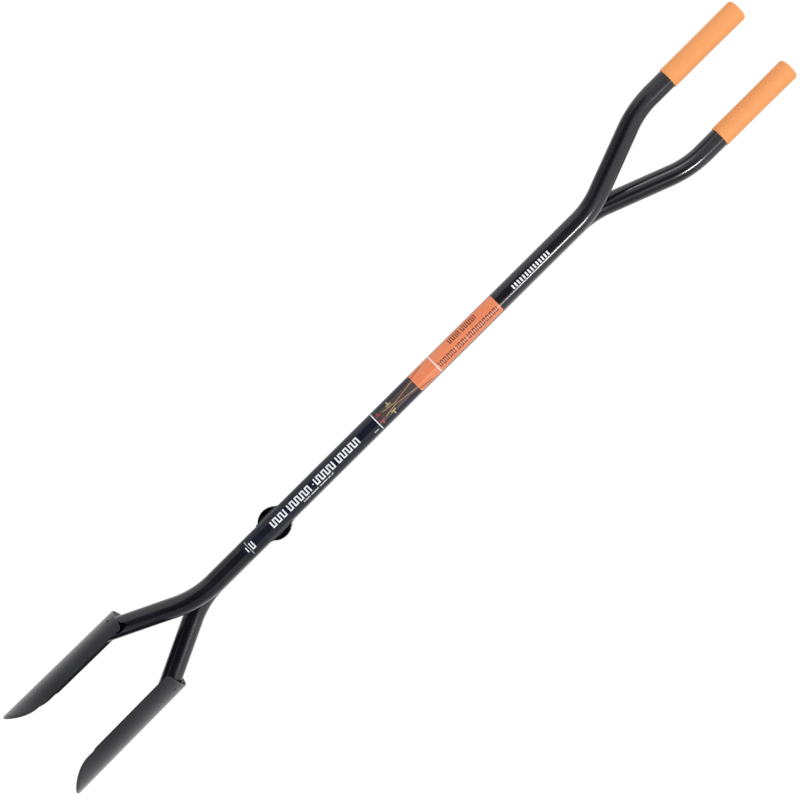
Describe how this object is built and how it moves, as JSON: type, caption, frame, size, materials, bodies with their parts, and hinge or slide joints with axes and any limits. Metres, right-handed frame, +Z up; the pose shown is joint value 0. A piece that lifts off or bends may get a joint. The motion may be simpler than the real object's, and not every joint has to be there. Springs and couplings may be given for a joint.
{
  "type": "post hole digger",
  "caption": "Clamshell post hole digger: bent steel tube arms crossing at one pivot, with facing rolled digging blades below and closed-end hand grips above.",
  "frame": {"origin": "on the ground plane, midway between the two blade points, in the mid plane of the pivot", "axes": "+Z up along the straight shafts, X in the plane of the motion with the front arm's grip and blade at -X, Y along the pivot axis with the front tube at -Y"},
  "size_m": [0.162, 0.127, 1.524],
  "materials": {
    "tube_paint": "gloss black powder coat",
    "blade_paint": "satin black-grey powder coat",
    "pivot_paint": "gloss black powder coat",
    "weld_paint": "black powder coat over rippled weld bead",
    "grip_vinyl": "satin orange dipped vinyl",
    "rivet_steel": "plain steel, machined",
    "bush_bronze": "sintered bronze, oiled",
    "label_film": "gloss printed film: black with white marks and an orange panel"
  },
  "bodies": {
    "front_arm": {"front_shaft": "tube_paint", "front_blade": "blade_paint", "front_blade_weld": "weld_paint", "front_grip": "grip_vinyl", "front_pivot_cup": "pivot_paint", "front_cup_weld": "weld_paint", "pivot_rivet": "rivet_steel", "rivet_washer": "rivet_steel", "thrust_washer": "rivet_steel", "shaft_label": "label_film"},
    "rear_arm": {"rear_shaft": "tube_paint", "rear_blade": "blade_paint", "rear_blade_weld": "weld_paint", "rear_grip": "grip_vinyl", "rear_pivot_cup": "pivot_paint", "rear_cup_weld": "weld_paint", "pivot_bush": "bush_bronze"}
  },
  "joints": [
    {"name": "pivot", "type": "hinge", "parent": "front_arm", "child": "rear_arm", "pos_m": [0, 0, 0.494], "axis": [0, 1, 0], "range_deg": [-5, 12]}
  ]
}
